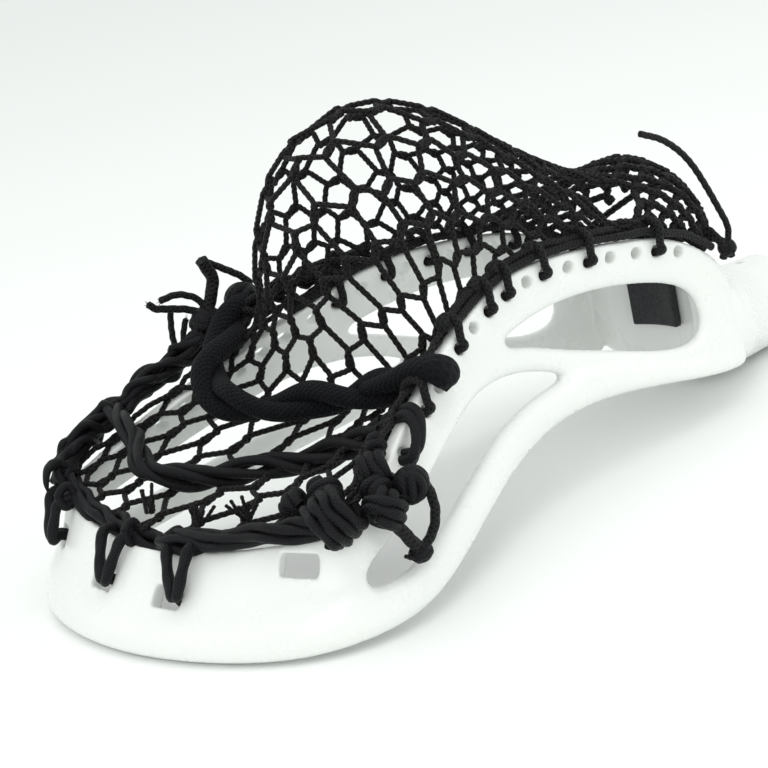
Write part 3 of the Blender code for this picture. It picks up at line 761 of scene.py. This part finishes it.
def net_line(middle, feet, offset, pinch):
    """One line of the net, from the near rail over the middle to the far rail."""
    inset, lift = offset
    top = np.array((middle[0], 0.0, middle[1]))
    ends = []
    for side, x in zip((-1, 1), feet):
        edge = RAILS[side].edge[RAILS[side].at_x(x)]
        ends.append(edge + np.array((x - edge[0], -side * inset, lift)))
    out = []
    for turn in np.linspace(-math.pi / 2, math.pi / 2, NET_LINE_STEPS + 1):
        foot, power = (ends[0], 1) if turn < 0 else (ends[1], pinch)
        x, _, z = foot + (top - foot) * abs(math.cos(turn)) ** power
        out.append((x, abs(math.sin(turn)) ** power * foot[1], z))
    return np.array(out)


def net_surface():
    """The net's surface as places: rows from scoop to throat, columns from rail to rail."""
    pinch = np.interp(np.linspace(0, 1, len(NET_LINES)), PINCH_AT, PINCH)
    lines = [net_line(*line, amount) for line, amount in zip(NET_LINES, pinch)]
    across = np.array([evenly(line, count=NET_COLUMNS)[0] for line in lines])
    columns = [evenly(through(column), count=NET_ROWS)[0] for column in np.swapaxes(across, 0, 1)]
    return np.swapaxes(np.array(columns), 0, 1)


def on_surface(surface, u, v):
    """Places at shares u across and v along the surface, and the surface's directions there."""
    rows, columns = surface.shape[:2]
    r = np.clip(np.asarray(v) * (rows - 1), 0, rows - 1.001)
    c = np.clip(np.asarray(u) * (columns - 1), 0, columns - 1.001)
    i, j = r.astype(int), c.astype(int)
    s, t = (r - i)[:, None], (c - j)[:, None]
    a, b, d, e = surface[i, j], surface[i, j + 1], surface[i + 1, j], surface[i + 1, j + 1]
    place = (a * (1 - t) + b * t) * (1 - s) + (d * (1 - t) + e * t) * s
    across = unit((b - a) * (1 - s) + (e - d) * s)
    along = (d - a) * (1 - t) + (e - b) * t
    return place, across, unit(np.cross(along, across))


def gathered(u, v):
    """Shares across the net, with the cells near the rails drawn together."""
    strength = np.interp(v, GATHER_AT, GATHER) * math.pi / 2
    return 0.5 + 0.5 * np.sin((2 * u - 1) * strength) / np.sin(strength)


def parted(u, v, strand):
    """Shares across the net, with the near side's strands pushed apart at the opening."""
    amount = np.interp(v, PARTED_AT, PARTED)
    if strand > PARTED_STRAND:
        pushed = 0.5 - (0.5 - u) * (1 - PUSH_ABOVE * amount)
    else:
        pushed = u * (1 - PUSH_BELOW * amount)
    return np.where(u > 0.5, u, pushed)


def add_tuft(skein, place, chance):
    """Cut ends of the net's cords that stand up beside the scoop's lacing."""
    for _ in range(TUFT_ENDS):
        lean = chance.uniform(-1, 1, 3) * (TUFT_LEAN, TUFT_LEAN, 0.3) + (0, 0, 1.0)
        foot = place + chance.uniform(-TUFT_FOOT, TUFT_FOOT, 3) * (1, 1, 0.3)
        height = chance.uniform(*TUFT_HEIGHT)
        bend = chance.uniform(-1, 1, 3) * TUFT_BEND
        half_way = foot + lean * height * 0.5 + bend * 0.4
        skein.add(through([foot, half_way, foot + lean * height + bend], 6), TUFT_CORD)


def make_net():
    """Knitted net: strands from scoop to throat that join a neighbour at each junction."""
    surface = net_surface()
    strands = 2 * CELLS_ACROSS
    rows = np.cumsum((END_GAP,) + ROW_STEPS)
    rows /= rows[-1] + END_GAP
    step = np.gradient(rows)
    chance = np.random.RandomState(NET_SEED)
    shake = chance.uniform(-1, 1, (len(rows), strands + 2, 2)) * NET_JITTER
    skein = Skein()
    for s in range(strands):
        u, v, twist, apart = [], [], [], []
        for row, at in enumerate(rows):
            partner = s + 1 if (s + row) % 2 == 0 else s - 1
            alone = not 0 <= partner < strands
            du, dv = (0.0, 0.0) if alone else shake[row, min(s, partner) + 1]
            middle = (s + partner + 1) / 2 / strands + du / strands * NET_SHAKE
            if alone:
                middle = 0 if s == 0 else 1
            side = 0.0 if partner > s else math.pi
            for k in np.linspace(-1, 1, JUNCTION_POINTS):
                v.append(at + (dv * NET_SHAKE + k * JUNCTION) * step[row])
                u.append(middle)
                twist.append(side + k * math.pi * JUNCTION_TWIST)
                apart.append(0 if alone else 1)
        u, v, twist = np.array(u), np.clip(v, 0.0, 1.0), np.array(twist)[:, None]
        place, across, normal = on_surface(surface, parted(gathered(u, v), v, s), v)
        apart = np.array(apart)[:, None] * NET_CORD.radius * JUNCTION_WIDE
        place = place - across * np.cos(twist) * apart + normal * np.sin(twist) * apart
        skein.add(through(place, 4), NET_CORD, phase=s,
                  taper=lambda t: np.interp(t, THICKER_AT, THICKER))
    skein.add(through(surface[-1][END_CORD_POINTS], 6), END_CORD)
    for place in TUFTS:
        add_tuft(skein, place, chance)
    skein.build("pocket_net", "mesh_cord", "pocket_mesh")


# ---- strings of the rails ----
SIDE = Cord(1.45, sides=10, lobes=3, pitch=4, relief=0.06)
HOLES_USED = {-1: (1, 4, 6, 8, 9, 11, 14), 1: (1, 3, 5, 7, 9)}
KNOTTED_HOLES = (6, 8, 9, 11)
RAIL_KNOT, RAIL_KNOT_RADII = (2, -2.6, 4.6), (3.3, 3, 2.9)
# Along the edge, outward and upward: once round the rail through a string hole.
WRAP = (
    (0, 0.5, -5.2), (0.3, 0.6, -2), (0.7, 1.3, 3.4), (0.4, -2.2, 5.9), (-0.2, -6.2, 4.4),
    (-0.6, -9.2, -1), (-0.3, -9.2, -5.2))
WRAP_SHIFT, SHIFT_BELOW, SHIFT_ABOVE = 0.8, 0.4, 1.5  # along the edge; its share below and above
# Cords along each rail: outward and upward from the string edge, and the x where each begins.
BAND = {-1: ((-1.4, 1.7, 2), (-4.6, 1.7, 2), (-2.9, 4, -46)), 1: ((-1.5, 1.6, 2), (-4.7, 1.7, 2))}
BAND_TO_X = -137
FAR_GATHER = (  # where the net's edge is bunched above the far rail
    (-152, 55, 66), (-146, 53, 71), (-138, 50.5, 74.5), (-128, 47, 77.5), (-117, 44, 79.5),
    (-106, 41, 80.5), (-96, 39, 81))


def make_side_string(name, side, seed):
    """The lace of one rail: cords along its string edge, wrapped round it at the holes."""
    rail = RAILS[side]
    holes = hole_points(rail)
    chance = np.random.RandomState(seed)
    skein = Skein()
    for n, (outward, upward, start) in enumerate(BAND[side]):
        line = rail.line(rail.at_x(start), rail.at_x(BAND_TO_X), outward, upward)[::4]
        skein.add(wobble(through(line, 6), 0.35, 24, seed + n), SIDE, phase=n)
    if side > 0:
        skein.twist(FAR_GATHER, SIDE, strands=4, offset=2.6, pitch=31, swing=1.2, wave=17, seed=40)
    for hole in HOLES_USED[side]:
        shift = chance.uniform(-WRAP_SHIFT, WRAP_SHIFT)
        loop = [(a + shift * (SHIFT_BELOW if h < 0 else SHIFT_ABOVE), n, h) for a, n, h in WRAP]
        loop = through(rail.near(holes[hole], loop), closed=True)
        skein.add(loop, SIDE, closed=True, phase=shift)
        if hole in KNOTTED_HOLES:
            along, outward, upward = RAIL_KNOT
            centre = rail.near(holes[hole], ((shift + along, outward, upward),))[0]
            ball_knot(skein, centre, RAIL_KNOT_RADII, SIDE, seed + hole)
    skein.build(name.replace("sidewall_string", "rail_lacing"), "string", name)


BOTTOM = Cord(1.5, sides=10, lobes=3, pitch=4, relief=0.06)
BOTTOM_ROUTE = (
    (9, -37.5, 51), (8, -38.5, 55.5), (6.5, -34, 60), (6, -29, 60.4), (7, -16, 59.2), (8, 0, 58.6),
    (7, 16, 59.2), (6, 29, 60.4), (6.5, 34, 60), (8, 38.5, 55.5), (9, 37.5, 51))


def make_bottom_string():
    """The cord across the throat that gathers the end of the net, and runs over both rails."""
    skein = Skein()
    skein.twist(BOTTOM_ROUTE, BOTTOM, strands=2, offset=1.45, pitch=34, swing=0.25, wave=20,
                seed=31)
    skein.build("throat_string", "string", "bottom_string")


# ---- top string ----
TOP = Cord(1.5, pitch=9, relief=0.05)
LOOP = Cord(1.85, pitch=9, relief=0.07)
BUNDLE_NEAR = (-217, 0.6, 3.4)  # x where it begins, outward and upward from the string edge
BUNDLE_FAR = (-223, -3.6, 3.8)
FAR_BUNDLE = (
    (-222, 67, 37.5), (-215, 72.5, 41.5), (-208, 75, 45.3), (-199, 75, 48.3), (-190, 73, 51.8),
    (-181, 70.5, 56), (-170, 68.5, 60), (-160, 65.5, 63.5), (-152, 64, 67.5))
CORNER_SPIKE = (
    (-218, 68, 41), (-222, 67.5, 44), (-226.5, 66, 43.6), (-229.5, 64, 40.5), (-230.5, 62.8, 37.5))
LOOP_SHIFT = (4.5, 5, 7.5)  # of each loop's tip towards the near rail; the last slot has no loop
SLOT_LOOP = (  # along, outward, upward, share of the shift, and whether it is down at the slot
    (6, -1.5, 3.4, 0.5, False), (5.6, 2.6, 0.5, 0.5, False), (4.3, 2.7, -5, 0.6, False),
    (1.6, 2, -0.2, 1, True), (0.8, -1.6, 0.8, 0.5, True), (1.5, -8.4, 0.8, 0.25, True),
    (3.6, -8.9, -5, 0.5, False), (5.6, -6, 1.6, 0.5, False))
SLOT_RING, RING_SHIFT = ((6.5, 3.2, 3.4), (5.5, 0.6, 7), (6.5, -3, 3.6), (7.3, 0.4, 0.4)), 0.5


def make_top_string():
    """The lace that ties the net to the scoop: a bundle along its edge, with loops into slots."""
    skein = Skein()
    near, far = RAILS[-1], RAILS[1]
    line = np.vstack([near.line(near.at_x(BUNDLE_NEAR[0]), None, *BUNDLE_NEAR[1:])[::6],
                      far.line(far.at_x(BUNDLE_FAR[0]), None, *BUNDLE_FAR[1:])[::-6], FAR_BUNDLE])
    skein.twist(line, TOP, strands=5, offset=2.4, pitch=130, swing=0.9, wave=26, seed=50, start=0.4)
    skein.add(through(CORNER_SPIKE), LOOP, taper=lambda t: 1 - 0.8 * t ** 3)
    skein.twist(FAR_BUNDLE, TOP, strands=3, offset=3.4, pitch=37, swing=1.6, wave=15, seed=60,
                start=1)
    for (y, depth), shift in zip(SLOTS, LOOP_SHIFT):
        rail = RAILS[1 if y > 0 else -1]
        shift = math.copysign(shift, y)
        k = rail.at_y(y)
        for phase, side in enumerate((1, -1)):
            strand = [(side * a + shift * share, n, h - depth if low else h)
                      for a, n, h, share, low in SLOT_LOOP]
            skein.add(through(rail.near(k, strand)), LOOP, phase=phase)
        ring = rail.near(k, [(a + shift * RING_SHIFT, n, h) for a, n, h in SLOT_RING])
        skein.add(through(ring, closed=True), TOP, closed=True)
    skein.build("scoop_lacing", "smooth_lace", "top_string")


# ---- shooting laces ----
WOVEN = Cord(3.9, sides=18, spacing=0.8, pitch=57, relief=0, flat=0.85)
WOVEN_ROUTE = (
    (-155.5, -46.5, 58.6), (-157.2, -41.5, 58), (-159.6, -35, 57.4), (-163.4, -24, 56),
    (-168.5, -11, 54.6), (-175, 0, 54), (-180.5, 12, 55), (-181.5, 23, 58), (-176, 33, 62),
    (-166, 41, 66), (-154.5, 48, 69.5), (-146, 53.5, 72), (-138.5, 58, 74))
FOLD = Cord(9.8, sides=30, spacing=0.8, pitch=1e6, relief=-0.07, flat=0.44)
FOLD_ROUTE = (
    (-152.6, -60.4, 58.4), (-152.4, -60.6, 60.8), (-152.8, -58.6, 63.6), (-154, -54.5, 64.2),
    (-155.5, -50, 63.2), (-157.5, -44.5, 61.2), (-159.5, -38, 59.4), (-161.5, -32, 58))
FOLD_WIDTH_WAY = (-0.87, -0.36, -0.33)  # direction of its width where it begins
FOLD_AT, FOLD_WIDE = (0, 0.03, 0.08, 0.15, 0.5, 1), (0.45, 0.75, 0.92, 1, 0.93, 0.6)
SMOOTH = Cord(1.7, spacing=0.7, pitch=11, relief=0.04)
SMOOTH_ROUTE = (
    (-171.5, -50, 50.5), (-173, -42, 46.5), (-176, -30, 42), (-182, -15, 38.5), (-191, -3, 38),
    (-200, 7, 38.5), (-207, 16, 39), (-211, 26, 41), (-209, 36, 44.5), (-203, 46, 48),
    (-198, 57, 50), (-194, 66, 51.5), (-191, 73, 51.5))
RAIL_LOOP = (
    (-172, -46, 50.5), (-170.6, -52, 53.5), (-170.3, -58, 56), (-170.5, -63, 57.3),
    (-171.8, -67.3, 54.8), (-174.8, -69.8, 50.3), (-178.3, -70.3, 46.4), (-180, -66, 45.5))
LOOP_SHIFTS = ((0, 0, 0), (-2.9, -0.6, -1.4), (-1.4, 1.6, -3.2))


def make_woven_lace():
    """The thick soft lace across the pocket, and its flat fold over the near rail."""
    skein = Skein()
    skein.twist(WOVEN_ROUTE, WOVEN, strands=2, offset=3.1, pitch=62, swing=0.5, wave=40, seed=70,
                start=0.9)
    skein.add(through(FOLD_ROUTE), FOLD, taper=lambda t: np.interp(t, FOLD_AT, FOLD_WIDE),
              start=FOLD_WIDTH_WAY)
    skein.build("woven_lacing", "woven_lace", "shooting_lace_woven")


def make_smooth_lace():
    """The smooth laces below it, and their loops over the near rail."""
    skein = Skein()
    skein.twist(SMOOTH_ROUTE, SMOOTH, strands=4, offset=2.7, pitch=62, swing=0.9, wave=38, seed=80,
                start=0.2)
    for n, shift in enumerate(LOOP_SHIFTS):
        skein.add(through(np.array(RAIL_LOOP) + shift), SMOOTH, phase=n)
    skein.build("smooth_lacing", "smooth_lace", "shooting_lace_smooth")


# ---- knots and loose ends ----
TAILS = {  # loose ends of the laces: diameter, and the way from the knot that holds each
    "lace_stub": (4.6, ((-147.8, 65, 75.5), (-146.4, 64.5, 79), (-144.6, 64, 83), (-144, 64, 86.5),
        (-145.2, 64, 90), (-147, 64, 93.5))),
    "lace_tail_woven": (2.6, ((-131.5, 59, 80.5), (-134, 61, 84), (-138, 63.2, 87.4),
        (-142, 65, 90.5), (-144.5, 65, 92))),
    "lace_tail_upper": (2.5, ((-148.3, 66.4, 76.8), (-149.8, 68, 80.2), (-154.4, 70, 82.9),
        (-157.4, 72, 83.1), (-161.5, 73, 82.6))),
    "lace_tail_lower": (2.7, ((-150.2, 67.5, 75.2), (-153.6, 70, 77.2), (-159.4, 73, 79),
        (-162.7, 75, 80), (-164.8, 76, 82.2))),
    "top_string_tail_long": (2.3, ((-157, 72.5, 58.5), (-158.2, 74.5, 62), (-158.4, 75, 66),
        (-157.8, 75.5, 71), (-156.4, 76, 76.4))),
    "top_string_tail_short": (2.2, ((-156, 72, 60), (-156, 72.2, 63), (-155.8, 72.6, 66.5),
        (-154.6, 72.6, 70), (-153.3, 72, 73.3))),
    "top_string_strand_outer": (3.2, ((-186, -80.5, 40), (-185.9, -82.4, 36), (-186.6, -83.6, 31),
        (-189, -84, 26), (-192.5, -83.6, 22.5))),
    "top_string_strand_inner": (4.2, ((-203, -82, 35), (-201.5, -83.2, 31), (-199, -83.8, 26.5),
        (-196.5, -83.8, 23))),
}
FIBRES, FIBRE_CORD = 7, Cord(0.16, sides=5, spacing=0.3, relief=0)
BOTTOM_TAIL_DIAMETER = 2.4
BOTTOM_TAIL = (
    (9.6, -38, 56.2), (11, -38, 59), (11, -38, 63), (8, -38, 70), (3.5, -38, 79.5),
    (-1.5, -38, 88.5), (-7.3, -38, 95.5), (-15, -38, 101.5), (-24.5, -38, 106))


def make_tails():
    """Loose ends of the laces, each with a slightly frayed tip."""
    for name, (diameter, route) in TAILS.items():
        skein = Skein()
        line = through(route, 10)
        skein.add(line, Cord(diameter / 2, spacing=0.4, lobes=3, pitch=diameter * 1.5, relief=0.07))
        tip = (line[-1] - line[-4]) / np.linalg.norm(line[-1] - line[-4])
        chance = np.random.RandomState(len(name))
        for _ in range(FIBRES):
            side = chance.uniform(-1, 1, 3)
            root = line[-1] - tip * 0.6 + side * diameter * 0.16
            fibre = [root, root + tip * 0.7 + side * 0.25, root + tip * 1.3 + side * 0.8]
            skein.add(through(fibre, 4), FIBRE_CORD, taper=lambda t: 1 - 0.7 * t)
        skein.build(name + "_cord", "string", name)


CLUSTER = Cord(1.75, pitch=8, relief=0.06)
CLUSTER_KNOTS = {  # windings of the near corner's knots: centre, axis, radius, length, turns
    "top_string_knot_outer": (
        ((-217, -72.5, 38.5), (0.62, -0.5, 0.4), 8, 13.5, 4.2),
        ((-217, -72.5, 38.5), (0.5, -0.5, 0.5), 4.8, 10, 3),
        ((-210, -62, 42.5), (0.5, 0.6, 0.5), 4.4, 7, 2.6),
        ((-216, -54, 40.5), (0.3, -0.9, 0.6), 3.4, 6, 2.2)),
    "top_string_knot_middle": (
        ((-204, -81, 37), (0.6, 0.05, 0.7), 5.8, 8.5, 2.8),
        ((-203, -81, 38), (0.5, -0.6, -0.5), 4.6, 8, 2.4),
        ((-196, -69.5, 46), (0.7, -0.5, 0.1), 4.6, 8.5, 3.2),
        ((-200, -74, 42), (0.2, 0.9, 0.3), 3.6, 7, 2.2),
        ((-189.5, -65, 51), (0.6, 0.2, 0.8), 2.6, 5, 2)),
}
BALL_KNOTS = {  # centre, radii, radius of the cord
    "top_string_knot_inner": ((-190.5, -79.5, 40.5), (6.8, 5.4, 6.6), 1.75),
    "top_string_end_knot": ((-195, -83.2, 20.6), (4.4, 3.8, 3.6), 1.5),
    "lace_knot_woven": ((-136.4, 59.5, 76), (6.6, 6.4, 6.6), 2.4),
    "lace_knot_smooth": ((-149, 65.5, 71), (6.8, 6.2, 6.4), 2.2),
    "bottom_string_knot": ((9, -38, 54.5), (3.9, 3.6, 3.4), 1.4),
}
BALL_SEED = 3
END_KNOT_STUB = ((-195.5, -83.2, 20.8), (-198.5, -83.6, 20.2), (-201.5, -83.4, 21.6))


def make_knots():
    """Each knot as windings of cord over each other."""
    for name, windings in CLUSTER_KNOTS.items():
        skein = Skein()
        for n, winding in enumerate(windings):
            skein.add(wobble(coil(*winding, spin=n), 0.4, 14, 90 + n), CLUSTER, phase=n)
        skein.build(name + "_tied", "smooth_lace", name)
    for seed, (name, (centre, radii, radius)) in enumerate(BALL_KNOTS.items(), BALL_SEED):
        skein = Skein()
        cord = Cord(radius, spacing=0.5, pitch=radius * 6, relief=0.05)
        ball_knot(skein, centre, radii, cord, seed)
        if name == "top_string_end_knot":
            skein.add(through(END_KNOT_STUB), Cord(1.2, sides=10), taper=lambda t: 1 - 0.4 * t)
        skein.build(name + "_tied", "smooth_lace", name)


def make_bottom_tail():
    """The long stiff loose end at the throat."""
    skein = Skein()
    line = through(BOTTOM_TAIL, 10)
    skein.add(line, Cord(BOTTOM_TAIL_DIAMETER / 2, spacing=0.5, lobes=3, pitch=3.6, relief=0.07))
    tail = skein.build("bottom_string_tail_cord", "string", "bottom_string_tail")


make_bottom_tail()
make_frame()
make_ball_stop()
make_net()
make_side_string("sidewall_string_near", -1, 21)
make_side_string("sidewall_string_far", 1, 22)
make_bottom_string()
make_top_string()
make_woven_lace()
make_smooth_lace()
make_tails()
make_knots()
make_studio()
